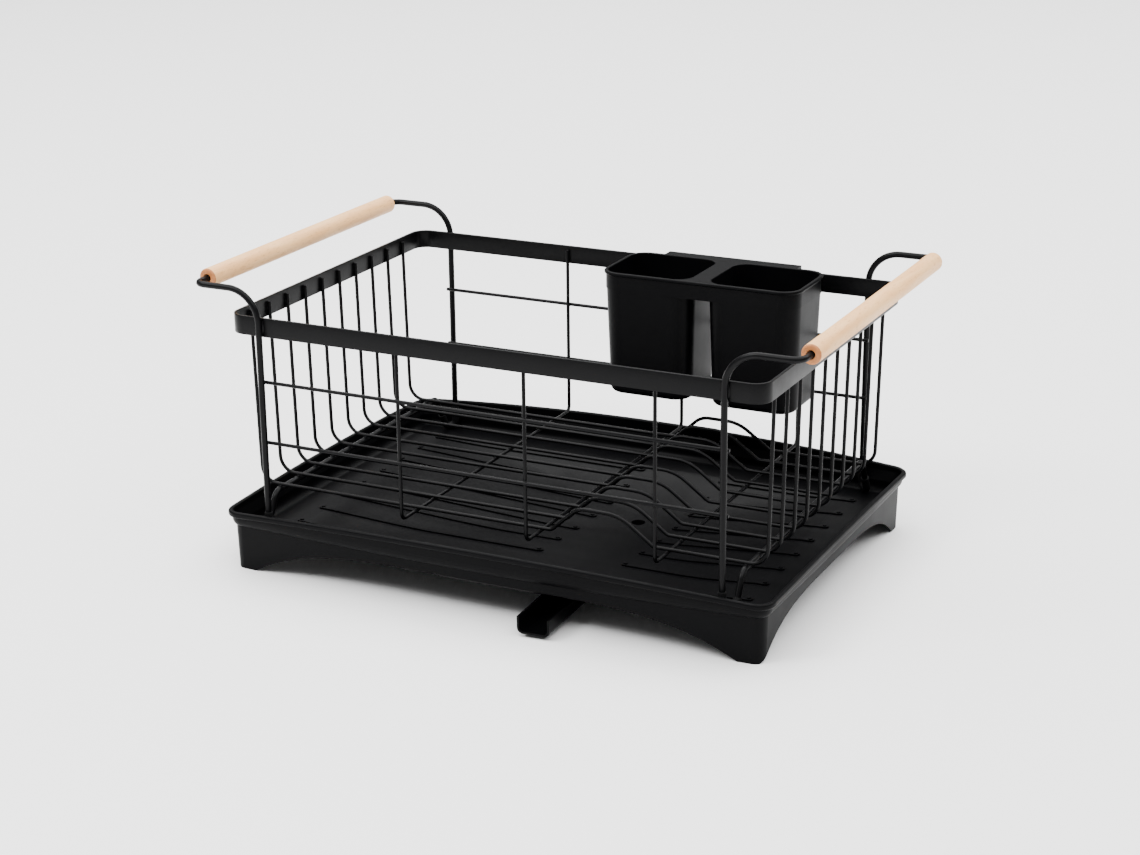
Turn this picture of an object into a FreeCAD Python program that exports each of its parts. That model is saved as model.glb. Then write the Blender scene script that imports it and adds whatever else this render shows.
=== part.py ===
import FreeCAD, Part
import math
import os

from FreeCAD import Vector

# Dish drying rack: a welded wire basket with two wooden carrying grips stands in a moulded
# drip tray. A twin utensil cup hangs on the basket's back rim, and a drain spout swivels
# under the tray. Millimetres, +Z up, +X along the rack, +Y to its back. The pieces are drawn
# about the basket's middle, with the table at Z = 0.

# Wire stock, and how far two wires sink into each other where they are welded
THICK_WIRE = 5.2
THIN_WIRE = 3.0
WELD_SINK = 0.1

# Rim hoop of flat strip round the top of the basket
RIM_LENGTH = 460.0
RIM_DEPTH = 309.0
RIM_TOP = 216.0
RIM_HEIGHT = 15.7
RIM_THICKNESS = 2.5
RIM_CORNER = 14.0

# Handle frames: one bent wire each, through the grip, down both long faces and along the floor
LEG_X = 199.0
LEG_Y = RIM_DEPTH / 2 + THICK_WIRE / 2 - WELD_SINK
SHOULDER_BEND = 27.0
GRIP_END_BEND = 9.0
FOOT_BEND = 5.3
FOOT_RISE_BEND = 10.0
FOOT_INNER_X = 206.0
FOOT_INNER_Y = 151.0
FOOT_RISE_Y = 134.0
FOOT_BOTTOM = 30.8
WIRE_END_GAP = 1.0

# Wooden grips
GRIP_X = 257.5
GRIP_Z = 238.5
GRIP_DIAMETER = 15.6
GRIP_LENGTH = 287.0
GRIP_OFFSET_Y = 3.5
GRIP_END_ROUND = 2.0
GRIP_BORE_PLAY = 0.08
GRIP_MOUTH_DIAMETER = 7.0
GRIP_MOUTH_DEPTH = 3.0

# Long wires: ten, from end to end, each with a hump that holds plates upright
LONG_WIRES = 10
LONG_WIRE_FIRST_Y = -126.8
LONG_WIRE_PITCH = 27.06
FLOOR_Z = 66.0
LONG_WIRE_TOP = RIM_TOP - 3.3
SIDE_BOTTOM_X = 223.0
SIDE_BEND = 14.0
HUMP_START_X = 43.2
HUMP_LEFT_SHOULDER = (66.0, 87.2)
HUMP_LEFT_BEND = 18.0
HUMP_RIGHT_SHOULDER = (100.5, 87.0)
HUMP_RIGHT_BEND = 35.0
HUMP_END_X = 129.8
HUMP_FOOT_BEND = 6.0

# Cross wires: three, from front to back, under the long wires
CROSS_WIRE_X = (-77.5, 33.0, 141.5)
CROSS_WIRE_BEND = 6.0

# Rails: one upper and one lower along the front, and the same along the back
RAIL_HEIGHTS = {"upper": 162.5, "lower": 111.5}
RAIL_HALF_LENGTH = 202.0

# Foot sleeves: soft tube pushed over the bends that stand in the tray
SLEEVE_WALL = 0.7
SLEEVE_TOP = 53.0
SLEEVE_INNER_TOP = 44.0

# Drip tray. Its long sides stand out by a bow, and its lip is highest at mid-length.
TRAY_HALF_LENGTH = 237.5
TRAY_END_BOW = 1.0
TRAY_HALF_DEPTH = 163.6
TRAY_SIDE_BOW = 8.6
TRAY_CORNER = 14.0
LIP_CROWN_Z = 60.5
LIP_SIDE_DROP = 3.0
LIP_END_DROP = 7.5
LIP_OVERHANG = 2.0
LIP_DROP = 5.0
LIP_ROUND = 1.5
LIP_UNDER_ROUND = 1.9
BAND_INSET = 0.8
BAND_FOOT_Z = 45.0
BAND_CURL = ((2.1, 39.5), (1.15, 42.0))
STEP_Z = 37.5
SKIRT_INSET = 4.2
SKIRT_LEAN = 1.0
TRAY_WALL = 1.4
FLOOR_EDGE_Z = 27.4
FLOOR_THICKNESS = 1.8
BASIN_INSET = 4.4
BASIN_ROUND = 9.0
BASIN_INNER_ROUND = 6.5
HOPPER_HALF_LENGTH = 195.0
HOPPER_HALF_DEPTH = 135.0
HOPPER_CORNER = 20.0
FLOOR_DRAIN_Z = 16.5
LONG_ARCH_HALF_SPAN = 213.0
LONG_ARCH_RISE = 30.0
END_ARCH_HALF_SPAN = 149.0
END_ARCH_RISE = 29.0
END_ARCH_MIDDLE_Y = -8.0
RIB_HEIGHT = 1.2
RIB_WIDTH = 7.0
RIB_ROWS = 8
RIB_PITCH = 33.5
RIBS_MIDDLE_Y = 10.8
RIB_SPANS = ((-204.0, 8.0), (78.0, 204.0))
PIP_RADIUS = 1.8
PIP_HEIGHT = 0.8
RIB_FIELD_INSET = 13.0

# Drain and swivelling spout
DRAIN_X = 45.0
DRAIN_Y = 32.0
DRAIN_HOLE = 6.0
DRAIN_DISH = 16.0
BOSS_RADIUS = 11.0
BOSS_BOTTOM = 9.2
SPOUT_TURN_DEG = 3.0
SPOUT_REACH = 219.3
SPOUT_HUB_RADIUS = 18.0
SPOUT_HUB_PLAY = 0.08
SPOUT_BOTTOM = 3.0
SPOUT_HUB_TOP = 13.2
SPOUT_TIP_TOP = 17.0
SPOUT_TIP_WIDTH = 27.0
SPOUT_WALL = 1.8
SPOUT_BEND = 5.0
RING_RADIUS = 13.6
RING_THICKNESS = 1.2

# How far the whole rack is moved back, so that the origin is under the middle of its outline
OUTLINE_BACK_Y = TRAY_HALF_DEPTH + TRAY_SIDE_BOW + LIP_OVERHANG
SPOUT_TURN = math.radians(SPOUT_TURN_DEG)
SPOUT_TIP_Y = SPOUT_REACH * math.cos(SPOUT_TURN) + SPOUT_TIP_WIDTH / 2 * math.sin(SPOUT_TURN)
RACK_SHIFT_Y = -(OUTLINE_BACK_Y + DRAIN_Y - SPOUT_TIP_Y) / 2

# Utensil holder
HOLDER_X = 79.0
HOLDER_FRONT_Y = 71.2
HOLDER_BACK_Y = 146.0
HOLDER_TOP = RIM_TOP + 4.1
CUP_INNER_WIDTH = 77.0
CUP_SPACING = 94.0
CUP_WALL = 1.8
CUP_CORNER = 14.0
CUP_DRAFT = 3.0
CUP_BOTTOM = 113.0
CUP_BOTTOM_ROUND = 5.0
HOLDER_LIP = 1.4
HOLDER_LIP_HEIGHT = 3.0
HOLDER_LIP_ROUND = 1.2
CUP_MOUTH_ROUND = 0.8
WEB_SKIRT = 15.3
HOOK_HALF_WIDTH = 60.5
HOOK_THICKNESS = 2.2
HOOK_DROP = 14.3
HOOK_PLAY = 0.4


def bent_path(points, radii):
    """A wire of straight runs, with an arc of the given radius at each inner point."""
    edges = []
    start = points[0]
    for before, corner, after, radius in zip(points, points[1:], points[2:], radii):
        into = (corner - before).normalize()
        out = (after - corner).normalize()
        turn = into.getAngle(out)
        reach = radius * math.tan(turn / 2)
        arc_start = corner - into * reach
        arc_end = corner + out * reach
        inward = (out - into).normalize()
        arc_middle = corner + inward * (radius / math.cos(turn / 2) - radius)
        if start.distanceToPoint(arc_start) > 0.001:
            edges.append(Part.LineSegment(start, arc_start).toShape())
        edges.append(Part.Arc(arc_start, arc_middle, arc_end).toShape())
        start = arc_end
    edges.append(Part.LineSegment(start, points[-1]).toShape())
    return Part.Wire(edges)


def rod(points, radii, diameter):
    """A round bar of the given diameter along the bent path."""
    path = bent_path(points, radii)
    heading = points[1] - points[0]
    section = Part.Wire([Part.makeCircle(diameter / 2, points[0], heading)])
    return path.makePipeShell([section], True, False)


def rounded_outline(half_x, half_y, corner, z, centre=Vector(0, 0, 0)):
    """A rectangle with rounded corners."""
    in_x = half_x - corner
    in_y = half_y - corner
    slant = corner * math.sqrt(0.5)
    edges = []
    for sx, sy in ((1, -1), (1, 1), (-1, 1), (-1, -1)):
        on_long_side = Vector(sx * in_x, sy * half_y, z)
        on_short_side = Vector(sx * half_x, sy * in_y, z)
        middle = Vector(sx * (in_x + slant), sy * (in_y + slant), z)
        edges.append(Part.Arc(on_long_side, middle, on_short_side).toShape())
    for side in (-1, 1):
        long_ends = [Vector(-in_x, side * half_y, z), Vector(in_x, side * half_y, z)]
        short_ends = [Vector(side * half_x, -in_y, z), Vector(side * half_x, in_y, z)]
        edges.append(Part.LineSegment(*long_ends).toShape())
        edges.append(Part.LineSegment(*short_ends).toShape())
    outline = Part.Wire(Part.__sortEdges__(edges))
    outline.translate(centre)
    return outline


def block(outline, height):
    """The solid that stands the given height above a closed flat outline."""
    return Part.Face(outline).extrude(Vector(0, 0, height))


def box(low, high):
    """A box between two opposite corners."""
    size = high - low
    return Part.makeBox(size.x, size.y, size.z, low)


def union(shapes):
    """All the shapes as one."""
    return shapes[0].fuse(shapes[1:])


def one_solid(shape):
    """The shape cleaned of seams, as a single solid."""
    clean = shape.removeSplitter()
    return clean.Solids[0] if len(clean.Solids) == 1 else clean


def make_rim():
    """The hoop: a flat strip on edge, bent to a rounded rectangle and butt welded."""
    bottom = RIM_TOP - RIM_HEIGHT
    outer = rounded_outline(RIM_LENGTH / 2, RIM_DEPTH / 2, RIM_CORNER, bottom)
    inner = rounded_outline(
        RIM_LENGTH / 2 - RIM_THICKNESS,
        RIM_DEPTH / 2 - RIM_THICKNESS,
        RIM_CORNER - RIM_THICKNESS,
        bottom,
    )
    return block(outer, RIM_HEIGHT).cut(block(inner, RIM_HEIGHT))


def frame_run_z():
    """The height of the handle frames' run under the floor wires."""
    return FLOOR_Z - (THIN_WIRE + THICK_WIRE) / 2 + WELD_SINK


def handle_frame_points(side):
    """The corner points and bend radii of one handle frame; side is -1 on the left."""
    run_z = frame_run_z()
    grip_x = side * GRIP_X
    leg_x = side * LEG_X
    inner_x = side * FOOT_INNER_X
    turn_z = FOOT_BOTTOM
    front = [
        (Vector(grip_x, -WIRE_END_GAP / 2, GRIP_Z), None),
        (Vector(grip_x, -LEG_Y, GRIP_Z), GRIP_END_BEND),
        (Vector(leg_x, -LEG_Y, GRIP_Z), SHOULDER_BEND),
        (Vector(leg_x, -LEG_Y, turn_z), FOOT_BEND),
        (Vector(inner_x, -FOOT_INNER_Y, turn_z), FOOT_BEND),
        (Vector(inner_x, -FOOT_RISE_Y, run_z), FOOT_RISE_BEND),
    ]
    back = [(Vector(point.x, -point.y, point.z), radius) for point, radius in reversed(front)]
    corners = front + back
    points = [point for point, radius in corners]
    radii = [radius for point, radius in corners[1:-1]]
    return points, radii


def make_handle_frame(side):
    """One bent wire whose two ends meet inside the wooden grip."""
    points, radii = handle_frame_points(side)
    return rod(points, radii, THICK_WIRE)


def make_foot_sleeve(side_x, side_y):
    """A soft tube over one foot bend of a handle frame."""
    rise_share = (SLEEVE_INNER_TOP - FOOT_BOTTOM) / (frame_run_z() - FOOT_BOTTOM)
    inner_top_y = FOOT_INNER_Y + rise_share * (FOOT_RISE_Y - FOOT_INNER_Y)
    points = [
        Vector(side_x * LEG_X, side_y * LEG_Y, SLEEVE_TOP),
        Vector(side_x * LEG_X, side_y * LEG_Y, FOOT_BOTTOM),
        Vector(side_x * FOOT_INNER_X, side_y * FOOT_INNER_Y, FOOT_BOTTOM),
        Vector(side_x * FOOT_INNER_X, side_y * inner_top_y, SLEEVE_INNER_TOP),
    ]
    radii = [FOOT_BEND, FOOT_BEND]
    outer = rod(points, radii, THICK_WIRE + 2 * SLEEVE_WALL)
    return outer.cut(rod(points, radii, THICK_WIRE))


def make_grip(side):
    """A dowel with rounded ends, bored through, with a wider mouth at each end."""
    low_y = GRIP_OFFSET_Y - GRIP_LENGTH / 2
    start = Vector(side * GRIP_X, low_y, GRIP_Z)
    along = Vector(0, 1, 0)
    dowel = Part.makeCylinder(GRIP_DIAMETER / 2, GRIP_LENGTH, start, along)
    rims = [edge for edge in dowel.Edges if len(edge.Vertexes) == 1]
    dowel = dowel.makeFillet(GRIP_END_ROUND, rims)
    bore_radius = THICK_WIRE / 2 + GRIP_BORE_PLAY
    dowel = dowel.cut(Part.makeCylinder(bore_radius, GRIP_LENGTH, start, along))
    for mouth_y in (low_y, low_y + GRIP_LENGTH - GRIP_MOUTH_DEPTH):
        mouth_start = Vector(side * GRIP_X, mouth_y, GRIP_Z)
        mouth = Part.makeCylinder(GRIP_MOUTH_DIAMETER / 2, GRIP_MOUTH_DEPTH, mouth_start, along)
        dowel = dowel.cut(mouth)
    return dowel


def make_long_wire(y):
    """A thin wire down one end of the basket, along its floor, over the hump and up again."""
    top_x = RIM_LENGTH / 2 - RIM_THICKNESS - THIN_WIRE / 2 + WELD_SINK
    profile = [
        (-top_x, LONG_WIRE_TOP, None),
        (-SIDE_BOTTOM_X, FLOOR_Z, SIDE_BEND),
        (HUMP_START_X, FLOOR_Z, HUMP_FOOT_BEND),
        HUMP_LEFT_SHOULDER + (HUMP_LEFT_BEND,),
        HUMP_RIGHT_SHOULDER + (HUMP_RIGHT_BEND,),
        (HUMP_END_X, FLOOR_Z, HUMP_FOOT_BEND),
        (SIDE_BOTTOM_X, FLOOR_Z, SIDE_BEND),
        (top_x, LONG_WIRE_TOP, None),
    ]
    points = [Vector(x, y, z) for x, z, radius in profile]
    radii = [radius for x, z, radius in profile[1:-1]]
    return rod(points, radii, THIN_WIRE)


def make_cross_wire(x):
    """A thin wire down the front of the basket, under the long wires and up the back."""
    face_y = RIM_DEPTH / 2 - RIM_THICKNESS - THIN_WIRE / 2
    low_z = FLOOR_Z - THIN_WIRE + WELD_SINK
    points = [
        Vector(x, -face_y, LONG_WIRE_TOP),
        Vector(x, -face_y, low_z),
        Vector(x, face_y, low_z),
        Vector(x, face_y, LONG_WIRE_TOP),
    ]
    return rod(points, [CROSS_WIRE_BEND, CROSS_WIRE_BEND], THIN_WIRE)


def make_rail(side_y, z):
    """A straight thin wire, midway between the legs and the cross wires' uprights."""
    leg_inner_y = LEG_Y - THICK_WIRE / 2
    upright_outer_y = RIM_DEPTH / 2 - RIM_THICKNESS
    y = side_y * (leg_inner_y + upright_outer_y) / 2
    start = Vector(-RAIL_HALF_LENGTH, y, z)
    return Part.makeCylinder(THIN_WIRE / 2, 2 * RAIL_HALF_LENGTH, start, Vector(1, 0, 0))


def tray_outline(inset, z):
    """The tray's outline moved inwards: four bowed sides and corner arcs tangent to them."""
    long_r = (TRAY_HALF_LENGTH**2 + TRAY_SIDE_BOW**2) / (2 * TRAY_SIDE_BOW)
    end_r = (TRAY_HALF_DEPTH**2 + TRAY_END_BOW**2) / (2 * TRAY_END_BOW)
    long_centre = Vector(0, TRAY_HALF_DEPTH + TRAY_SIDE_BOW - long_r, 0)
    end_centre = Vector(TRAY_HALF_LENGTH + TRAY_END_BOW - end_r, 0, 0)
    from_long = long_r - TRAY_CORNER
    from_end = end_r - TRAY_CORNER
    between = end_centre - long_centre
    along = (from_long**2 - from_end**2 + between.Length**2) / (2 * between.Length)
    across = math.sqrt(from_long**2 - along**2)
    forward = Vector(between).normalize()
    corner_centre = long_centre + forward * along + Vector(forward.y, -forward.x, 0) * across
    to_long = (corner_centre - long_centre).normalize()
    to_end = (corner_centre - end_centre).normalize()
    long_end = long_centre + to_long * (long_r - inset)
    short_end = end_centre + to_end * (end_r - inset)
    middle = corner_centre + (to_long + to_end).normalize() * (TRAY_CORNER - inset)
    edges = []
    for sx, sy in ((1, -1), (1, 1), (-1, 1), (-1, -1)):
        points = [Vector(sx * p.x, sy * p.y, z) for p in (long_end, middle, short_end)]
        edges.append(Part.Arc(*points).toShape())
    crown_y = TRAY_HALF_DEPTH + TRAY_SIDE_BOW - inset
    crown_x = TRAY_HALF_LENGTH + TRAY_END_BOW - inset
    for side in (-1, 1):
        left = Vector(-long_end.x, side * long_end.y, z)
        right = Vector(long_end.x, side * long_end.y, z)
        front = Vector(side * short_end.x, -short_end.y, z)
        back = Vector(side * short_end.x, short_end.y, z)
        edges.append(Part.Arc(left, Vector(0, side * crown_y, z), right).toShape())
        edges.append(Part.Arc(front, Vector(side * crown_x, 0, z), back).toShape())
    return Part.Wire(Part.__sortEdges__(edges))


def under_lip_line(drop):
    """All below the tray's lip line: a barrel, highest over the middle, lower to the corners."""
    top = LIP_CROWN_Z - drop
    axis_z = top - TRAY_HALF_DEPTH**2 / (2 * LIP_SIDE_DROP)
    reach = TRAY_HALF_LENGTH + 20.0
    end_z = top - LIP_END_DROP * (reach / TRAY_HALF_LENGTH) ** 2
    left = Vector(-reach, 0, end_z)
    right = Vector(reach, 0, end_z)
    axis_right = Vector(reach, 0, axis_z)
    axis_left = Vector(-reach, 0, axis_z)
    edges = [Part.Arc(left, Vector(0, 0, top), right).toShape()]
    for first, second in ((right, axis_right), (axis_right, axis_left), (axis_left, left)):
        edges.append(Part.LineSegment(first, second).toShape())
    profile = Part.Face(Part.Wire(edges))
    half_turn = 3.0
    profile.rotate(axis_left, Vector(1, 0, 0), -half_turn)
    return profile.revolve(axis_left, Vector(1, 0, 0), 2 * half_turn)


def lip_line_z(point):
    """The height of the lip line over a point."""
    side_share = point.y / TRAY_HALF_DEPTH
    end_share = point.x / TRAY_HALF_LENGTH
    return LIP_CROWN_Z - LIP_SIDE_DROP * side_share**2 - LIP_END_DROP * end_share**2


def level_edges(shape, upper):
    """The edges that run round the lip, at its top or at its underside."""
    chosen = []
    for edge in shape.Edges:
        middle = edge.valueAt((edge.FirstParameter + edge.LastParameter) / 2)
        runs_level = abs(edge.tangentAt(edge.FirstParameter).z) < 0.5
        is_upper = middle.z > lip_line_z(middle) - LIP_DROP / 2
        if runs_level and is_upper == upper:
            chosen.append(edge)
    return chosen


def make_lip():
    """The rolled lip: a slab between two lip lines, rounded outside, hollow, rounded on top."""
    wall_top = LIP_CROWN_Z + 1.0
    slab = block(tray_outline(-LIP_OVERHANG, FLOOR_EDGE_Z), wall_top - FLOOR_EDGE_Z)
    slab = slab.common(under_lip_line(0.0)).cut(under_lip_line(LIP_DROP))
    slab = slab.makeFillet(LIP_UNDER_ROUND, level_edges(slab, False))
    inside = tray_outline(BAND_INSET + TRAY_WALL, FLOOR_EDGE_Z)
    ring = slab.cut(block(inside, wall_top - FLOOR_EDGE_Z))
    return ring.makeFillet(LIP_ROUND, level_edges(ring, True))


def arch_cutter(half_span, rise):
    """The opening between two feet, right through the tray: flat on top, steep at its ends."""
    shares = (-1.0, -0.95, -0.84, -0.68, -0.47, -0.25, 0.0, 0.25, 0.47, 0.68, 0.84, 0.95, 1.0)
    steepness = 4.25
    spread = [
        Vector(half_span * share, 0, rise * (1 - abs(share) ** steepness)) for share in shares
    ]
    curve = Part.BSplineCurve()
    curve.interpolate(spread)
    low_left = spread[0] - Vector(0, 0, 5.0)
    low_right = spread[-1] - Vector(0, 0, 5.0)
    edges = [curve.toShape()]
    for first, second in ((spread[-1], low_right), (low_right, low_left), (low_left, spread[0])):
        edges.append(Part.LineSegment(first, second).toShape())
    length = 600.0
    cutter = Part.Face(Part.Wire(edges)).extrude(Vector(0, length, 0))
    cutter.translate(Vector(0, -length / 2, 0))
    return cutter


def hopper(lift):
    """The shallow four-sided hollow from the flat margin down to the dish round the drain."""
    drain = Vector(DRAIN_X, DRAIN_Y, 0)
    edge = rounded_outline(
        HOPPER_HALF_LENGTH, HOPPER_HALF_DEPTH, HOPPER_CORNER, FLOOR_EDGE_Z + lift
    )
    dish = rounded_outline(
        DRAIN_DISH, DRAIN_DISH, DRAIN_DISH - 1.0, FLOOR_DRAIN_Z + lift, drain
    )
    return Part.makeLoft([dish, edge], True, True)


def basin_body(inset, low_z, bottom_round):
    """The basin's form as a solid up to the step, its bottom edge rounded all the way."""
    body = block(tray_outline(inset, low_z), STEP_Z - low_z)
    bottom = []
    for edge in body.Edges:
        if all(abs(vertex.Z - low_z) < 0.001 for vertex in edge.Vertexes):
            bottom.append(edge)
    return body.makeFillet(bottom_round, bottom)


def floor_space(lift):
    """The open space over the tray's floor, margin and hopper, moved up by a lift."""
    margin = tray_outline(RIB_FIELD_INSET, FLOOR_EDGE_Z + lift)
    return hopper(lift).fuse(block(margin, BASIN_ROUND))


def make_ribs():
    """Low ribs along the tray's floor, in two groups, with a round pip on each rounded end."""
    ribs = []
    pips = []
    low_z = FLOOR_DRAIN_Z - 1.0
    high = FLOOR_EDGE_Z + BASIN_ROUND - low_z
    for row in range(RIB_ROWS):
        y = RIBS_MIDDLE_Y + (row - (RIB_ROWS - 1) / 2) * RIB_PITCH
        for low_x, high_x in RIB_SPANS:
            middle = Vector((low_x + high_x) / 2, y, 0)
            outline = rounded_outline(
                (high_x - low_x) / 2, RIB_WIDTH / 2, RIB_WIDTH / 2 - 0.01, low_z, middle
            )
            ribs.append(block(outline, high))
            for x in (low_x + RIB_WIDTH / 2, high_x - RIB_WIDTH / 2):
                pips.append(Part.makeCylinder(PIP_RADIUS, high, Vector(x, y, low_z)))
    space = floor_space(0.0)
    rib_tops = floor_space(RIB_HEIGHT)
    raised = union(ribs).common(space).cut(rib_tops)
    tips = union(pips).common(space).cut(floor_space(RIB_HEIGHT + PIP_HEIGHT))
    return raised.fuse(tips)


def make_tray():
    """One moulding: basin with a sloping floor, rolled lip, stepped band and arched skirt."""
    wall_top = LIP_CROWN_Z + 1.0
    curl = [(SKIRT_INSET, STEP_Z), *BAND_CURL, (BAND_INSET, BAND_FOOT_Z)]
    curl_outlines = [tray_outline(inset, z) for inset, z in curl]
    band = union([
        Part.makeLoft(curl_outlines, True, False),
        block(curl_outlines[-1], wall_top - BAND_FOOT_Z),
    ])
    band = band.common(under_lip_line(LIP_DROP))
    skirt_outer = Part.makeLoft(
        [tray_outline(SKIRT_INSET + SKIRT_LEAN, 0.0), tray_outline(SKIRT_INSET, STEP_Z)], True, True
    )
    wall_inset = SKIRT_INSET + TRAY_WALL
    skirt_inner = Part.makeLoft(
        [
            tray_outline(wall_inset + SKIRT_LEAN, 0.0),
            tray_outline(wall_inset, STEP_Z),
        ],
        True,
        True,
    )
    long_arch = arch_cutter(LONG_ARCH_HALF_SPAN, LONG_ARCH_RISE)
    end_arch = arch_cutter(END_ARCH_HALF_SPAN, END_ARCH_RISE)
    end_arch.rotate(Vector(0, 0, 0), Vector(0, 0, 1), 90)
    end_arch.translate(Vector(0, END_ARCH_MIDDLE_Y, 0))
    hollow_step = tray_outline(wall_inset, STEP_Z)
    hollow_head = tray_outline(BAND_INSET + TRAY_WALL, BAND_FOOT_Z + 1.0)
    hollow = union([
        basin_body(wall_inset, FLOOR_EDGE_Z, BASIN_INNER_ROUND),
        Part.makeLoft([hollow_step, hollow_head], True, True),
        block(hollow_head, wall_top - BAND_FOOT_Z),
    ])
    skirt = skirt_outer.cut(skirt_inner).cut(long_arch).cut(end_arch)
    basin = basin_body(BASIN_INSET, FLOOR_EDGE_Z - FLOOR_THICKNESS, BASIN_ROUND)
    basin = basin.fuse(hopper(-FLOOR_THICKNESS))
    shell = union([skirt, band, basin]).cut(hollow).cut(hopper(0.0)).fuse(make_lip())
    drain = Vector(DRAIN_X, DRAIN_Y, 0)
    boss_height = FLOOR_DRAIN_Z - FLOOR_THICKNESS - BOSS_BOTTOM + 0.5
    boss = Part.makeCylinder(BOSS_RADIUS, boss_height, drain + Vector(0, 0, BOSS_BOTTOM))
    bore = Part.makeCylinder(DRAIN_HOLE, FLOOR_DRAIN_Z + 5.0, drain)
    return one_solid(union([shell, boss, make_ribs()]).cut(bore))


def spout_section(along, width, top, inset):
    """The spout's cross-section, a U with rounded bottom corners, at a distance from the hub."""
    half = width / 2 - inset
    low = SPOUT_BOTTOM + inset
    bend = SPOUT_BEND - inset
    high = top + (1.0 if inset > 0 else 0.0)
    slant = bend * (1 - math.sqrt(0.5))
    corner_points = [
        Vector(-half, -along, high),
        Vector(-half, -along, low + bend),
        Vector(-half + slant, -along, low + slant),
        Vector(-half + bend, -along, low),
        Vector(half - bend, -along, low),
        Vector(half - slant, -along, low + slant),
        Vector(half, -along, low + bend),
        Vector(half, -along, high),
    ]
    first, left, left_middle, left_low, right_low, right_middle, right, last = corner_points
    return Part.Wire([
        Part.LineSegment(first, left).toShape(),
        Part.Arc(left, left_middle, left_low).toShape(),
        Part.LineSegment(left_low, right_low).toShape(),
        Part.Arc(right_low, right_middle, right).toShape(),
        Part.LineSegment(right, last).toShape(),
        Part.LineSegment(last, first).toShape(),
    ])


def spout_trough(inset):
    """The trough's body, or with an inset its channel, from the hub's middle to the tip."""
    hub_width = 2 * SPOUT_HUB_RADIUS - 1.2
    middle = SPOUT_REACH * 0.45
    stations = [
        (0.0, hub_width, SPOUT_HUB_TOP),
        (middle, (hub_width + SPOUT_TIP_WIDTH) / 2, SPOUT_HUB_TOP),
        (SPOUT_REACH, SPOUT_TIP_WIDTH, SPOUT_TIP_TOP),
    ]
    if inset > 0:
        far, width, top = stations[-1]
        stations[-1] = (far + 1.0, width, top)
    sections = [spout_section(along, width, top, inset) for along, width, top in stations]
    return Part.makeLoft(sections, True, True)


def make_spout():
    """An open trough whose round hub turns on the tray's drain boss."""
    hub_low = Vector(0, 0, SPOUT_BOTTOM)
    hub_height = SPOUT_HUB_TOP - SPOUT_BOTTOM
    hub = Part.makeCylinder(SPOUT_HUB_RADIUS, hub_height, hub_low)
    low_edge = [edge for edge in hub.Edges if edge.BoundBox.ZMax < SPOUT_BOTTOM + 0.01]
    hub = hub.makeFillet(SPOUT_BEND - 2.0, low_edge)
    spout = hub.fuse(spout_trough(0.0))
    well_low = hub_low + Vector(0, 0, SPOUT_WALL)
    well_radius = SPOUT_HUB_RADIUS - SPOUT_WALL
    plate = 1.4
    well_height = hub_height - SPOUT_WALL - plate
    well = Part.makeCylinder(well_radius, well_height, well_low)
    channel = spout_trough(SPOUT_WALL)
    keep_plate = Part.makeCylinder(SPOUT_HUB_RADIUS, 20.0, Vector(0, 0, SPOUT_HUB_TOP - plate))
    spout = spout.cut(well).cut(channel.cut(keep_plate))
    spout = spout.cut(Part.makeCylinder(BOSS_RADIUS + SPOUT_HUB_PLAY, 40.0, well_low))
    spout.rotate(Vector(0, 0, 0), Vector(0, 0, 1), SPOUT_TURN_DEG)
    spout.translate(Vector(DRAIN_X, DRAIN_Y, 0))
    return one_solid(spout)


def make_retaining_ring():
    """The snap ring on the drain boss that keeps the spout's hub up."""
    low = Vector(DRAIN_X, DRAIN_Y, BOSS_BOTTOM + 0.2)
    ring = Part.makeCylinder(RING_RADIUS, RING_THICKNESS, low)
    return ring.cut(Part.makeCylinder(BOSS_RADIUS, RING_THICKNESS, low))


def cup_outline(centre_x, z, grow):
    """One cup's inner outline at a height, drawn in by the draft, grown by a wall."""
    depth = (HOLDER_TOP - z) / (HOLDER_TOP - CUP_BOTTOM)
    draft = CUP_DRAFT * depth
    half_x = CUP_INNER_WIDTH / 2 - draft + grow
    inner_depth = HOLDER_BACK_Y - HOLDER_FRONT_Y - 2 * CUP_WALL
    half_y = inner_depth / 2 - draft + grow
    middle_y = (HOLDER_FRONT_Y + HOLDER_BACK_Y) / 2
    return rounded_outline(half_x, half_y, CUP_CORNER + grow, z, Vector(centre_x, middle_y, 0))


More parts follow.
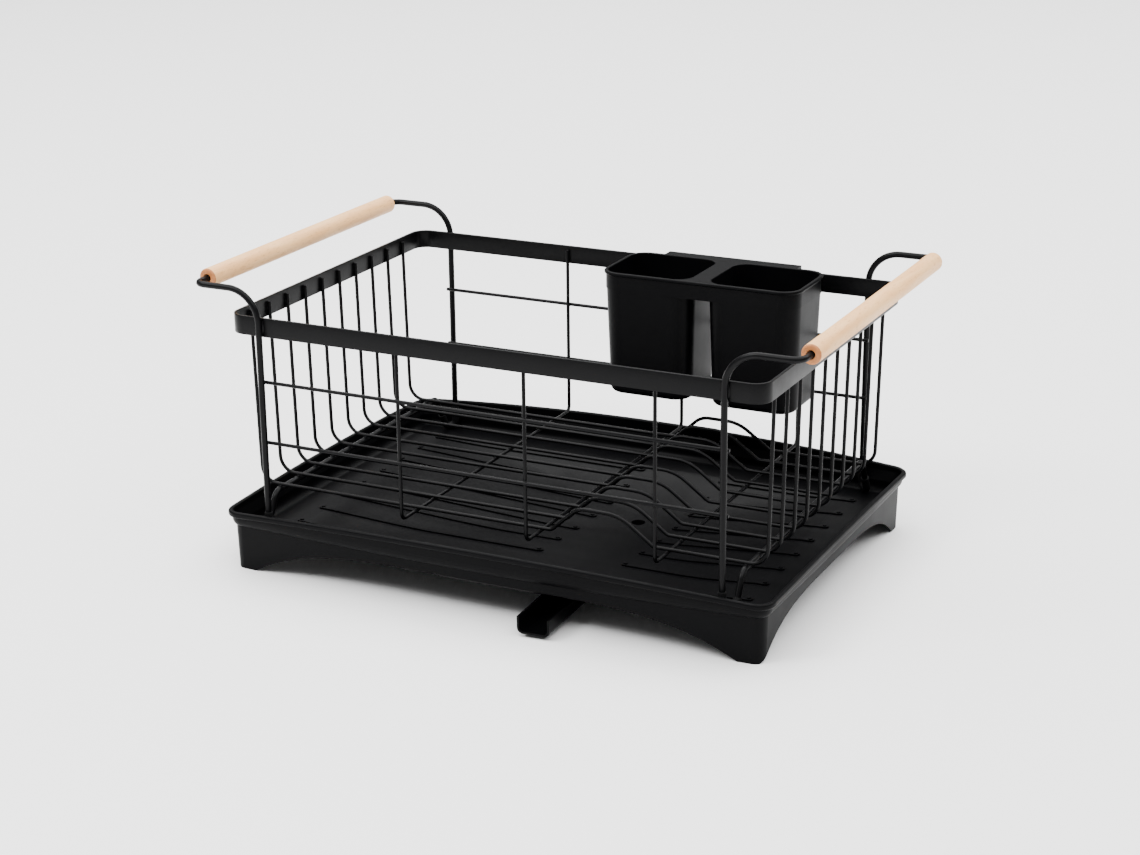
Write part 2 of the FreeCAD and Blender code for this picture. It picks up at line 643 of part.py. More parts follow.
def make_holder():
    """One moulding: two tapered cups, the bridge between them, a lip and a hook at the back."""
    centres = [HOLDER_X - CUP_SPACING / 2, HOLDER_X + CUP_SPACING / 2]
    middle_y = (HOLDER_FRONT_Y + HOLDER_BACK_Y) / 2
    half_y = (HOLDER_BACK_Y - HOLDER_FRONT_Y) / 2
    span = CUP_SPACING + CUP_INNER_WIDTH + 2 * CUP_WALL
    centre = Vector(HOLDER_X, middle_y, 0)
    lip_low = HOLDER_TOP - HOLDER_LIP_HEIGHT
    lip = rounded_outline(
        span / 2 + HOLDER_LIP, half_y + HOLDER_LIP, CUP_CORNER + CUP_WALL + HOLDER_LIP, lip_low, centre
    )
    lip = block(lip, HOLDER_LIP_HEIGHT)
    rims = [edge for edge in lip.Edges if abs(edge.tangentAt(edge.FirstParameter).z) < 0.5]
    lip = lip.makeFillet(HOLDER_LIP_ROUND, rims)
    skirt_low = HOLDER_TOP - WEB_SKIRT
    skirt = rounded_outline(span / 2, half_y, CUP_CORNER + CUP_WALL, skirt_low, centre)
    holder = lip.fuse(block(skirt, WEB_SKIRT))
    web_half = CUP_SPACING / 2 - CUP_INNER_WIDTH / 2 - CUP_WALL
    under_web = box(
        Vector(HOLDER_X - web_half, HOLDER_FRONT_Y + CUP_WALL, skirt_low - 1.0),
        Vector(HOLDER_X + web_half, HOLDER_BACK_Y - CUP_WALL, HOLDER_TOP - CUP_WALL),
    )
    holder = holder.cut(under_web)
    for centre_x in centres:
        outside = Part.makeLoft(
            [cup_outline(centre_x, CUP_BOTTOM, CUP_WALL), cup_outline(centre_x, HOLDER_TOP, CUP_WALL)],
            True,
            True,
        )
        bottom_edges = [edge for edge in outside.Edges if edge.BoundBox.ZMax < CUP_BOTTOM + 0.01]
        outside = outside.makeFillet(CUP_BOTTOM_ROUND, bottom_edges)
        holder = holder.fuse(outside)
    for centre_x in centres:
        floor_z = CUP_BOTTOM + CUP_WALL + 0.4
        inside = Part.makeLoft(
            [cup_outline(centre_x, floor_z, 0.0), cup_outline(centre_x, HOLDER_TOP, 0.0)],
            True,
            True,
        )
        floor_edges = [edge for edge in inside.Edges if edge.BoundBox.ZMax < floor_z + 0.01]
        inside = inside.makeFillet(CUP_BOTTOM_ROUND - CUP_WALL, floor_edges)
        holder = holder.cut(inside)
    rim_outer_y = RIM_DEPTH / 2
    hook_back_y = rim_outer_y + HOOK_PLAY + HOOK_THICKNESS
    left = HOLDER_X - HOOK_HALF_WIDTH
    right = HOLDER_X + HOOK_HALF_WIDTH
    hook_under_z = RIM_TOP + HOOK_PLAY
    shelf = box(
        Vector(left, HOLDER_BACK_Y - CUP_WALL, hook_under_z), Vector(right, hook_back_y, HOLDER_TOP)
    )
    tongue = box(
        Vector(left, rim_outer_y + HOOK_PLAY, HOLDER_TOP - HOOK_DROP),
        Vector(right, hook_back_y, HOLDER_TOP),
    )
    holder = one_solid(holder.fuse([shelf, tongue]))
    mouths = []
    for edge in holder.Edges:
        box_round_edge = edge.BoundBox
        at_top = box_round_edge.ZMin > HOLDER_TOP - 0.01
        inside_lip = HOLDER_FRONT_Y < box_round_edge.YMin and box_round_edge.YMax < HOLDER_BACK_Y
        if at_top and inside_lip:
            mouths.append(edge)
    return holder.makeFillet(CUP_MOUTH_ROUND, mouths)


def make_parts():
    """Every piece by its node name, drawn about the rack's own middle."""
    parts = {"rim_hoop": make_rim()}
    sides = {"left": -1, "right": 1}
    faces = {"front": -1, "back": 1}
    for side_name, side in sides.items():
        parts["handle_frame_" + side_name] = make_handle_frame(side)
        parts["grip_" + side_name] = make_grip(side)
    for number in range(LONG_WIRES):
        y = LONG_WIRE_FIRST_Y + LONG_WIRE_PITCH * number
        parts["long_wire_%02d" % (number + 1)] = make_long_wire(y)
    for number, x in enumerate(CROSS_WIRE_X):
        parts["cross_wire_%d" % (number + 1)] = make_cross_wire(x)
    for face_name, face in faces.items():
        for level, z in RAIL_HEIGHTS.items():
            parts["rail_%s_%s" % (face_name, level)] = make_rail(face, z)
        for side_name, side in sides.items():
            sleeve = make_foot_sleeve(side, face)
            parts["foot_sleeve_%s_%s" % (face_name, side_name)] = sleeve
    parts["utensil_holder"] = make_holder()
    parts["drip_tray"] = make_tray()
    parts["drain_spout"] = make_spout()
    parts["spout_retaining_ring"] = make_retaining_ring()
    return parts


def main():
    os.makedirs("parts", exist_ok=True)
    print("moved back by %.3f mm" % RACK_SHIFT_Y)
    for name, shape in make_parts().items():
        shape.translate(Vector(0, RACK_SHIFT_Y, 0))
        bounds = shape.BoundBox
        state = "" if shape.isValid() else "INVALID "
        print(
            "%s%-24s %d solid(s) %10.0f mm3  X %.1f %.1f  Y %.1f %.1f  Z %.1f %.1f"
            % (
                state, name, len(shape.Solids), shape.Volume,
                bounds.XMin, bounds.XMax, bounds.YMin, bounds.YMax, bounds.ZMin, bounds.ZMax,
            )
        )
        shape.exportStep("parts/%s.step" % name)


main()
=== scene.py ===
from math import radians, tau

import bpy
import numpy as np
from mathutils import Matrix, Vector


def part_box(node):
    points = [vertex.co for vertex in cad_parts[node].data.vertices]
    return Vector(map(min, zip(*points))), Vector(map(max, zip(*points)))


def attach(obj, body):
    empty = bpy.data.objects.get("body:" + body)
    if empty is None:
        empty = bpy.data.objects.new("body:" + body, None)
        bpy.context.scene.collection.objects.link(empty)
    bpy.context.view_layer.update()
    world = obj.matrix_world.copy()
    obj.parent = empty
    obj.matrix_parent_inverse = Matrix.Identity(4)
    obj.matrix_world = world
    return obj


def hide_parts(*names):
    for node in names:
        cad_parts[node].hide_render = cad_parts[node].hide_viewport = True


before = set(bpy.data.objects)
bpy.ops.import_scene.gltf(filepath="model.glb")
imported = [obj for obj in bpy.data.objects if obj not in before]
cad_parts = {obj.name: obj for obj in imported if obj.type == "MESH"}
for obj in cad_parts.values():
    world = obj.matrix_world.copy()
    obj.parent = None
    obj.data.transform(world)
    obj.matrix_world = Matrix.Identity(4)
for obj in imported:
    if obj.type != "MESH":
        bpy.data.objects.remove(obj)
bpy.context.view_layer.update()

# ---------------------------------------------------------------------------------------
# The table and the studio: a pale seamless table top under soft boxes, and the camera.
# Nothing here belongs to the rack.
# ---------------------------------------------------------------------------------------
MM = 0.001
RACK_MIDDLE_Y = sum(corner[1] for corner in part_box("rim_hoop")) / 2
TABLE_SIZE = 14.0
CAMERA_PLACE = (0.78676, RACK_MIDDLE_Y - 1.59846, 0.71011)
CAMERA_AZIMUTH = radians(26.28)
CAMERA_ELEVATION = radians(18.77)
CAMERA_ROLL = radians(-0.60)


def aim(thing, place, target):
    """Puts a lamp at a place, with its -Z axis towards the target."""
    direction = Vector(target) - Vector(place)
    turned = direction.to_track_quat("-Z", "Y").to_matrix().to_4x4()
    thing.matrix_world = Matrix.Translation(place) @ turned


def soft_box(name, place, target, width, power):
    """A square white studio lamp."""
    lamp = bpy.data.lights.new(name, "AREA")
    lamp.shape = "SQUARE"
    lamp.size = width
    lamp.energy = power
    stand = bpy.data.objects.new(name, lamp)
    bpy.context.scene.collection.objects.link(stand)
    aim(stand, place, target)


lens = bpy.data.cameras.new("camera")
lens.sensor_width = 36.0
lens.lens = 71.79
lens.clip_start = 0.05
lens.clip_end = 60.0
camera = bpy.data.objects.new("camera", lens)
bpy.context.scene.collection.objects.link(camera)
bpy.context.scene.camera = camera
ground_reach = np.cos(CAMERA_ELEVATION)
back = Vector(
    (
        np.sin(CAMERA_AZIMUTH) * ground_reach,
        -np.cos(CAMERA_AZIMUTH) * ground_reach,
        np.sin(CAMERA_ELEVATION),
    )
)
level = Vector((np.cos(CAMERA_AZIMUTH), np.sin(CAMERA_AZIMUTH), 0.0))
upright = back.cross(level)
right = level * np.cos(CAMERA_ROLL) + upright * np.sin(CAMERA_ROLL)
top = upright * np.cos(CAMERA_ROLL) - level * np.sin(CAMERA_ROLL)
axes = Matrix((right, top, back)).transposed().to_4x4()
camera.matrix_world = Matrix.Translation(CAMERA_PLACE) @ axes

table_mesh = bpy.data.meshes.new("table_top")
half = TABLE_SIZE / 2
table_mesh.from_pydata(
    [(-half, -half, 0.0), (half, -half, 0.0), (half, half, 0.0), (-half, half, 0.0)], [], [(0, 1, 2, 3)]
)
table_top = bpy.data.objects.new("table_top", table_mesh)
bpy.context.scene.collection.objects.link(table_top)
laminate = bpy.data.materials.new("white_laminate")
laminate.use_nodes = True
gloss = laminate.node_tree.nodes["Principled BSDF"]
gloss.inputs["Base Color"].default_value = (0.93, 0.93, 0.93, 1.0)
gloss.inputs["Roughness"].default_value = 0.6
gloss.inputs["Specular IOR Level"].default_value = 0.2
table_mesh.materials.append(laminate)

room = bpy.data.worlds.new("studio")
room.use_nodes = True
room.node_tree.nodes["Background"].inputs["Color"].default_value = (1.0, 1.0, 1.0, 1.0)
room.node_tree.nodes["Background"].inputs["Strength"].default_value = 0.3
bpy.context.scene.world = room
soft_box("overhead", place=(0.0, 1.0, 3.4), target=(0.0, 1.0, 0.0), width=8.0, power=1000.0)
soft_box("key", place=(-1.3, -1.6, 2.0), target=(0.0, 0.0, 0.1), width=0.9, power=40.0)

# ---------------------------------------------------------------------------------------
# Long wires: ten lengths of 3 mm bright-drawn steel wire, cut, bent on one former and spot
# welded. Each runs down one end, along the floor, over a plate hump and up the other end.
# The whole basket is coated after welding, in satin black powder, stoved on.
# ---------------------------------------------------------------------------------------
THIN = 3.0 * MM
WELD_SINK = 0.1 * MM
RIM_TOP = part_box("rim_hoop")[1][2]
FLOOR_Z = 66.0 * MM
SIDE_TOP_Z = RIM_TOP - 3.3 * MM
RIM_THICKNESS = 2.5 * MM
WIRE_SIDES = 20
ARC_STEP = radians(6.0)


def bent_path(points, radii):
    """Straight runs between the points, joined by tangent arcs of the radii. Returns the
    centres and, at each, two unit vectors across the path. On an arc, all three are the
    arc's start turned about the arc's own axis, so a tube along the path isn't twisted."""
    corners = np.array(points, float)
    runs = np.diff(corners, axis=0)
    runs /= np.linalg.norm(runs, axis=1)[:, None]
    spare = np.eye(3)[np.argmin(np.abs(runs[0]))]
    across = np.cross(runs[0], spare)
    across /= np.linalg.norm(across)
    over = np.cross(runs[0], across)
    centres, acrosses, overs = [corners[:1]], [across[None]], [over[None]]
    for corner, radius, into, out in zip(corners[1:-1], radii, runs, runs[1:]):
        turn = np.arccos(np.clip(into @ out, -1.0, 1.0))
        axis = np.cross(into, out) / np.sin(turn)
        inward = np.cross(axis, into)
        start = corner - into * radius * np.tan(turn / 2)
        angle = np.linspace(0.0, turn, int(np.ceil(turn / ARC_STEP)) + 1)[:, None]
        centres.append(start + radius * (into * np.sin(angle) + inward * (1 - np.cos(angle))))
        turned = []
        for arm in (across, over):
            about = axis * (axis @ arm)
            swung = (arm - about) * np.cos(angle) + np.cross(axis, arm) * np.sin(angle)
            turned.append(about + swung)
        acrosses.append(turned[0])
        overs.append(turned[1])
        across, over = turned[0][-1], turned[1][-1]
    centres.append(corners[-1:])
    acrosses.append(across[None])
    overs.append(over[None])
    return np.concatenate(centres), np.concatenate(acrosses), np.concatenate(overs)


def tube(points, radii, diameter, end_round=0.35 * MM):
    """A round bar: at each centre of the path, a circle in the plane of the two cross
    vectors. At both ends three more circles shrink along a quarter round, then a flat."""
    centres, acrosses, overs = bent_path(points, radii)
    sizes = np.full(len(centres), diameter / 2)
    step = np.linspace(0.0, tau / 4, 4)
    for end, towards in ((0, centres[0] - centres[1]), (-1, centres[-1] - centres[-2])):
        towards = towards / np.linalg.norm(towards)
        cap = centres[end] - towards * end_round * (1 - np.sin(step))[:, None]
        cap_size = diameter / 2 - end_round * (1 - np.cos(step))
        cap_across = np.repeat(acrosses[end][None], len(step), axis=0)
        cap_over = np.repeat(overs[end][None], len(step), axis=0)
        if end == 0:
            centres = np.concatenate([cap[::-1], centres[1:]])
            sizes = np.concatenate([cap_size[::-1], sizes[1:]])
            acrosses = np.concatenate([cap_across, acrosses[1:]])
            overs = np.concatenate([cap_over, overs[1:]])
        else:
            centres = np.concatenate([centres[:-1], cap])
            sizes = np.concatenate([sizes[:-1], cap_size])
            acrosses = np.concatenate([acrosses[:-1], cap_across])
            overs = np.concatenate([overs[:-1], cap_over])
    angle = np.linspace(0.0, tau, WIRE_SIDES, endpoint=False)
    cosine, sine = np.cos(angle)[None, :, None], np.sin(angle)[None, :, None]
    ring = cosine * acrosses[:, None] + sine * overs[:, None]
    return centres[:, None] + sizes[:, None, None] * ring


def skin(grid):
    """Vertices and faces of a grid of rings: each face joins two neighbours on one ring to
    the same two on the next, and the first and last rings are closed by one face each."""
    rings, sides = grid.shape[:2]
    number = np.arange(rings * sides).reshape(rings, sides)
    beside = np.roll(number, -1, axis=1)
    walls = np.stack([number[:-1], beside[:-1], beside[1:], number[1:]], axis=-1)
    faces = walls.reshape(-1, 4).tolist()
    faces.append(number[0][::-1].tolist())
    faces.append(number[-1].tolist())
    return grid.reshape(-1, 3), faces


def make_piece(name, shapes, material, body, nodes, crease=40.0):
    """One Blender object from one or more (vertices, faces) shapes, in place of CAD nodes."""
    vertices, faces, count = [], [], 0
    for points, corners in shapes:
        vertices.append(points)
        faces += [[index + count for index in face] for face in corners]
        count += len(points)
    mesh = bpy.data.meshes.new(name)
    mesh.from_pydata(np.concatenate(vertices).tolist(), [], faces)
    mesh.polygons.foreach_set("use_smooth", np.ones(len(mesh.polygons), bool))
    mesh.set_sharp_from_angle(angle=radians(crease))
    mesh.materials.append(material)
    piece = bpy.data.objects.new(name, mesh)
    bpy.context.scene.collection.objects.link(piece)
    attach(piece, body)
    if nodes:
        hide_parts(*nodes)
    return piece


def node_maker(material):
    """Clears a material's nodes, and returns its tree and a way to add a node with inputs."""
    material.use_nodes = True
    tree = material.node_tree
    tree.nodes.clear()

    def add(kind, settings=None, **inputs):
        node = tree.nodes.new(kind)
        for key, value in (settings or {}).items():
            setattr(node, key, value)
        for key, value in inputs.items():
            socket = node.inputs[key.replace("_", " ")]
            if isinstance(value, bpy.types.NodeSocket):
                tree.links.new(value, socket)
            else:
                socket.default_value = value
        return node

    return tree, add


def coated(name, dark, light, smooth, rough, patch, grain, depth, specular):
    """A black finish. Broad noise of scale patch drifts the colour from dark to light and the
    roughness from smooth to rough; fine noise of scale grain raises the surface by depth."""
    material = bpy.data.materials.new(name)
    tree, add = node_maker(material)
    place = add("ShaderNodeTexCoord").outputs["Object"]
    broad = add("ShaderNodeTexNoise", Vector=place, Scale=patch, Detail=3.0, Roughness=0.55)
    tint = add("ShaderNodeMix", {"data_type": "RGBA"})
    tint.inputs[6].default_value = (*dark, 1.0)
    tint.inputs[7].default_value = (*light, 1.0)
    tree.links.new(broad.outputs["Fac"], tint.inputs[0])
    spread = add("ShaderNodeMapRange", Value=broad.outputs["Fac"], From_Min=0.3, From_Max=0.7)
    spread.inputs["To Min"].default_value = smooth
    spread.inputs["To Max"].default_value = rough
    fine = add("ShaderNodeTexNoise", Vector=place, Scale=grain, Detail=2.0, Roughness=0.5)
    relief = add("ShaderNodeBump", Height=fine.outputs["Fac"], Strength=1.0, Distance=depth)
    shader = add("ShaderNodeBsdfPrincipled", Roughness=spread.outputs["Result"])
    shader.inputs["Specular IOR Level"].default_value = specular
    tree.links.new(tint.outputs[2], shader.inputs["Base Color"])
    tree.links.new(relief.outputs["Normal"], shader.inputs["Normal"])
    out = add("ShaderNodeOutputMaterial")
    tree.links.new(shader.outputs["BSDF"], out.inputs["Surface"])
    return material


powder_coat = coated(
    "black_powder_coat",
    dark=(0.0012, 0.0012, 0.0014),
    light=(0.0026, 0.0026, 0.003),
    smooth=0.28,
    rough=0.40,
    patch=45.0,
    grain=900.0,
    depth=0.04 * MM,
    specular=0.09,
)

LONG_WIRES = 10
side_top_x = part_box("rim_hoop")[1][0] - RIM_THICKNESS - THIN / 2 + WELD_SINK
# Each corner's x, z and bend radius in millimetres, from the left end's top to the right's.
LONG_PROFILE = (
    (-side_top_x / MM, SIDE_TOP_Z / MM, 0.0),
    (-223.0, 66.0, 14.0),
    (43.2, 66.0, 6.0),
    (66.0, 87.2, 18.0),
    (100.5, 87.0, 35.0),
    (129.8, 66.0, 6.0),
    (223.0, 66.0, 14.0),
    (side_top_x / MM, SIDE_TOP_Z / MM, 0.0),
)
long_wire_y = []
for number in range(1, LONG_WIRES + 1):
    node = "long_wire_%02d" % number
    low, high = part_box(node)
    y = (low[1] + high[1]) / 2
    long_wire_y.append(y)
    corners = [(x * MM, y, z * MM) for x, z, radius in LONG_PROFILE]
    bends = [radius * MM for x, z, radius in LONG_PROFILE[1:-1]]
    wire = skin(tube(corners, bends, THIN))
    make_piece("coated_" + node, [wire], powder_coat, "basket", [node])

# ---------------------------------------------------------------------------------------
# Cross wires: three lengths of the same wire, bent to a wide U. Each goes down the front
# face, along under the long wires, which are welded on top of it, and up the back face.
# ---------------------------------------------------------------------------------------
CROSS_BEND = 6.0 * MM
cross_wire_x = []
for number in (1, 2, 3):
    node = "cross_wire_%d" % number
    low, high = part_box(node)
    x = (low[0] + high[0]) / 2
    front_y, back_y, run_z = low[1] + THIN / 2, high[1] - THIN / 2, low[2] + THIN / 2
    cross_wire_x.append(x)
    corners = [(x, front_y, SIDE_TOP_Z), (x, front_y, run_z), (x, back_y, run_z), (x, back_y, SIDE_TOP_Z)]
    wire = skin(tube(corners, [CROSS_BEND, CROSS_BEND], THIN))
    make_piece("coated_" + node, [wire], powder_coat, "basket", [node])

# ---------------------------------------------------------------------------------------
# Rails: four straight cut lengths of the same wire, an upper and a lower one on each long
# face, spot welded between the handle wires' legs and the cross wires' uprights.
# ---------------------------------------------------------------------------------------
rail_y = {}
rail_z = {}
for face in ("front", "back"):
    for level_name in ("upper", "lower"):
        node = "rail_%s_%s" % (face, level_name)
        low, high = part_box(node)
        y, z = (low[1] + high[1]) / 2, (low[2] + high[2]) / 2
        rail_y[face], rail_z[level_name] = y, z
        rail = skin(tube([(low[0], y, z), (high[0], y, z)], [], THIN))
        make_piece("coated_" + node, [rail], powder_coat, "basket", [node])

# ---------------------------------------------------------------------------------------
# Rim hoop: flat steel strip stood on edge, with rolled edges, bent round four corners and
# butt welded. It holds the tops of all the wires on its inner face.
# ---------------------------------------------------------------------------------------
RIM_CORNER = 14.0 * MM
RIM_EDGE_ROUND = 0.6 * MM


def rounded_section(width, height, edge):
    """A rectangle's outline, anticlockwise from its bottom left, with quarter-round corners."""
    quarter = np.linspace(0.0, tau / 4, 4)
    right_x, top_z = width - edge, height - edge
    rounds = []
    for turn, x, z in ((2, edge, edge), (3, right_x, edge), (0, right_x, top_z), (1, edge, top_z)):
        angle = quarter + turn * tau / 4
        rounds.append(np.stack([x + edge * np.cos(angle), z + edge * np.sin(angle)], axis=1))
    return np.concatenate(rounds)


def carried_round(low, high, corner, section):
    """The section (inset, height) carried round a rectangle in plan with rounded corners.
    A point's place is its corner's centre plus (corner - inset) times the outward vector."""
    angle = np.linspace(0.0, tau / 4, 13)
    left_x, right_x = low[0] + corner, high[0] - corner
    front_y, back_y = low[1] + corner, high[1] - corner
    corner_middles = ((right_x, back_y), (left_x, back_y), (left_x, front_y), (right_x, front_y))
    outward, middles = [], []
    for turn, middle in enumerate(corner_middles):
        swing = angle + turn * tau / 4
        outward.append(np.stack([np.cos(swing), np.sin(swing)], axis=1))
        middles.append(np.repeat([middle], len(angle), axis=0))
    outward, middles = np.concatenate(outward), np.concatenate(middles)
    plan = middles[:, None] + (corner - section[None, :, :1]) * outward[:, None]
    heights = np.broadcast_to(section[None, :, 1:], (len(plan), len(section), 1))
    return np.concatenate([plan, heights], axis=2)


def ring_skin(grid):
    """Vertices and faces of a grid that closes on itself both ways."""
    rings, sides = grid.shape[:2]
    number = np.arange(rings * sides).reshape(rings, sides)
    beside, ahead = np.roll(number, -1, axis=1), np.roll(number, -1, axis=0)
    across = np.roll(ahead, -1, axis=1)
    faces = np.stack([number, ahead, across, beside], axis=-1).reshape(-1, 4).tolist()
    return grid.reshape(-1, 3), faces


rim_low, rim_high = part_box("rim_hoop")
rim_section = rounded_section(RIM_THICKNESS, rim_high[2] - rim_low[2], RIM_EDGE_ROUND)
rim_section = rim_section + np.array([0.0, rim_low[2]])
rim = ring_skin(carried_round(rim_low, rim_high, RIM_CORNER, rim_section))
make_piece("coated_rim_hoop", [rim], powder_coat, "basket", ["rim_hoop"])

# ---------------------------------------------------------------------------------------
# Handle frames: one length of 5.2 mm wire each. It leaves the grip, turns down outside the
# rim, stands in the tray on a U at each leg's foot and crosses under the floor wires.
# ---------------------------------------------------------------------------------------
THICK = 5.2 * MM
LEG_X = 199.0 * MM
GRIP_X = 257.5 * MM
GRIP_Z = 238.5 * MM
GRIP_BEND = 9.0 * MM
SHOULDER_BEND = 27.0 * MM
FOOT_INNER_X = 206.0 * MM
FOOT_INNER_Y = 151.0 * MM
FOOT_RISE_Y = 134.0 * MM
FOOT_TURN_Z = 30.8 * MM
FOOT_BEND = 5.3 * MM
FOOT_RISE_BEND = 10.0 * MM
WIRE_END_GAP = 1.0 * MM
leg_y = (rim_high[1] - rim_low[1]) / 2 + THICK / 2 - WELD_SINK
frame_run_z = FLOOR_Z - (THIN + THICK) / 2 + WELD_SINK
for side_name, side in (("left", -1), ("right", 1)):
    node = "handle_frame_" + side_name
    front = [
        (side * GRIP_X, -WIRE_END_GAP / 2, GRIP_Z, 0.0),
        (side * GRIP_X, -leg_y, GRIP_Z, GRIP_BEND),
        (side * LEG_X, -leg_y, GRIP_Z, SHOULDER_BEND),
        (side * LEG_X, -leg_y, FOOT_TURN_Z, FOOT_BEND),
        (side * FOOT_INNER_X, -FOOT_INNER_Y, FOOT_TURN_Z, FOOT_BEND),
        (side * FOOT_INNER_X, -FOOT_RISE_Y, frame_run_z, FOOT_RISE_BEND),
    ]
    route = front + [(x, -y, z, radius) for x, y, z, radius in reversed(front)]
    corners = [(x, y + RACK_MIDDLE_Y, z) for x, y, z, radius in route]
    bends = [radius for x, y, z, radius in route[1:-1]]
    wire = skin(tube(corners, bends, THICK))
    make_piece("coated_" + node, [wire], powder_coat, "basket", [node])

# ---------------------------------------------------------------------------------------
# Weld beads: the metal squeezed out where two wires are spot welded, and the short seams
# where the handle wires meet the rim. They were coated with the rest of the basket.
# ---------------------------------------------------------------------------------------
BEAD_SIDES = 10
# Half sizes along x, y and z in millimetres.
CROSSING_BEAD = (2.0, 2.0, 1.0)
FRAME_CROSSING_BEAD = (2.3, 1.9, 1.1)
RIM_END_BEAD = (0.8, 1.7, 4.5)
RIM_SIDE_BEAD = (1.7, 0.8, 4.5)
RAIL_BEAD = (2.0, 0.9, 2.0)
RAIL_LEG_BEAD = (2.4, 1.0, 2.0)
RIM_SEAM_BEAD = (1.5, 0.9, 5.2)
RIM_SEAM_OFFSET = 1.9 * MM


def beads(places, sizes):
    """Ellipsoids: a unit sphere of five rings and two poles, stretched by each bead's three
    sizes and put at its place."""
    tilt = np.linspace(0.0, tau / 2, 7)[1:-1]
    swing = np.linspace(0.0, tau, BEAD_SIDES, endpoint=False)
    flat = np.sin(tilt)[:, None]
    heights = np.broadcast_to(np.cos(tilt)[:, None], (len(tilt), BEAD_SIDES))
    rings = np.stack([flat * np.cos(swing), flat * np.sin(swing), heights], axis=-1).reshape(-1, 3)
    unit = np.concatenate([rings, [[0.0, 0.0, 1.0], [0.0, 0.0, -1.0]]])
    number = np.arange(len(tilt) * BEAD_SIDES).reshape(len(tilt), BEAD_SIDES)
    beside = np.roll(number, -1, axis=1)
    walls = np.stack([number[:-1], number[1:], beside[1:], beside[:-1]], axis=-1).reshape(-1, 4)
    top_pole, low_pole = len(rings), len(rings) + 1
    caps = [[top_pole, a, b] for a, b in zip(number[0], beside[0])]
    caps += [[low_pole, b, a] for a, b in zip(number[-1], beside[-1])]
    faces = walls.tolist() + [[int(index) for index in cap] for cap in caps]
    points = np.array(places)[:, None] + unit[None] * np.array(sizes)[:, None]
    all_faces = []
    for first in range(0, len(points) * len(unit), len(unit)):
        all_faces += [[index + first for index in face] for face in faces]
    return points.reshape(-1, 3), all_faces


bead_places, bead_sizes = [], []


def weld(x, y, z, half_sizes):
    """Notes one bead's place in metres and its half sizes in millimetres."""
    bead_places.append((x, y, z))
    bead_sizes.append([half * MM for half in half_sizes])


crossing_z = FLOOR_Z - THIN / 2
rim_weld_z = (rim_low[2] + SIDE_TOP_Z) / 2
for y in long_wire_y:
    for x in cross_wire_x:
        weld(x, y, crossing_z, CROSSING_BEAD)
    for side in (-1, 1):
        weld(side * FOOT_INNER_X, y, crossing_z, FRAME_CROSSING_BEAD)
        weld(side * (rim_high[0] - RIM_THICKNESS), y, rim_weld_z, RIM_END_BEAD)
for x in cross_wire_x:
    for y in (rim_low[1] + RIM_THICKNESS, rim_high[1] - RIM_THICKNESS):
        weld(x, y, rim_weld_z, RIM_SIDE_BEAD)
for face, side_y in (("front", -1), ("back", 1)):
    rim_face_y = RACK_MIDDLE_Y + side_y * (rim_high[1] - rim_low[1]) / 2
    for z in rail_z.values():
        for x in cross_wire_x:
            weld(x, rail_y[face] - side_y * THIN / 2, z, RAIL_BEAD)
        for x in (-LEG_X, LEG_X):
            weld(x, rail_y[face] + side_y * THIN / 2, z, RAIL_LEG_BEAD)
    for x in (-LEG_X, LEG_X):
        for seam_x in (x - RIM_SEAM_OFFSET, x + RIM_SEAM_OFFSET):
            weld(seam_x, rim_face_y, (rim_low[2] + rim_high[2]) / 2, RIM_SEAM_BEAD)
make_piece("weld_beads", [beads(bead_places, bead_sizes)], powder_coat, "basket", [])

# ---------------------------------------------------------------------------------------
# Foot sleeves: four short lengths of soft black vinyl tube, pushed over the U feet before
# the wire was closed, so that the steel never touches the tray.
# ---------------------------------------------------------------------------------------
SLEEVE_WALL = 0.7 * MM
SLEEVE_TOP = 53.0 * MM
SLEEVE_INNER_TOP = 44.0 * MM
SLEEVE_END_ROUND = 0.3 * MM
soft_vinyl = coated(
    "soft_black_vinyl",
    dark=(0.003, 0.003, 0.0032),
    light=(0.005, 0.005, 0.0054),
    smooth=0.5,
    rough=0.62,
    patch=60.0,
    grain=1400.0,
    depth=0.03 * MM,
    specular=0.1,
)
rise_share = (SLEEVE_INNER_TOP - FOOT_TURN_Z) / (frame_run_z - FOOT_TURN_Z)
sleeve_end_y = FOOT_INNER_Y + rise_share * (FOOT_RISE_Y - FOOT_INNER_Y)
for face, side_y in (("front", -1), ("back", 1)):
    for side_name, side in (("left", -1), ("right", 1)):
        node = "foot_sleeve_%s_%s" % (face, side_name)
        outer_y = RACK_MIDDLE_Y + side_y * leg_y
        inner_y = RACK_MIDDLE_Y + side_y * FOOT_INNER_Y
        corners = [
            (side * LEG_X, outer_y, SLEEVE_TOP),
            (side * LEG_X, outer_y, FOOT_TURN_Z),
            (side * FOOT_INNER_X, inner_y, FOOT_TURN_Z),
            (side * FOOT_INNER_X, RACK_MIDDLE_Y + side_y * sleeve_end_y, SLEEVE_INNER_TOP),
        ]
        sleeve_size = THICK + 2 * SLEEVE_WALL
        sleeve = skin(tube(corners, [FOOT_BEND, FOOT_BEND], sleeve_size, SLEEVE_END_ROUND))
        make_piece("soft_" + node, [sleeve], soft_vinyl, "basket", [node])

# ---------------------------------------------------------------------------------------
# Grips: two beech dowels, turned, bored through, rounded at the ends and sealed with thin
# clear varnish. Each is threaded on the handle wire and turns freely on it.
# ---------------------------------------------------------------------------------------
BORE_PLAY = 0.08 * MM
BORE_RADIUS = THICK / 2 + BORE_PLAY
MOUTH_RADIUS = 3.5 * MM
MOUTH_DEPTH = 3.0 * MM
GRIP_END_ROUND = 2.0 * MM
GRIP_SIDES = 48
GRIP_CREASE = 35.0
END_GRAIN_SLOPE = 0.3


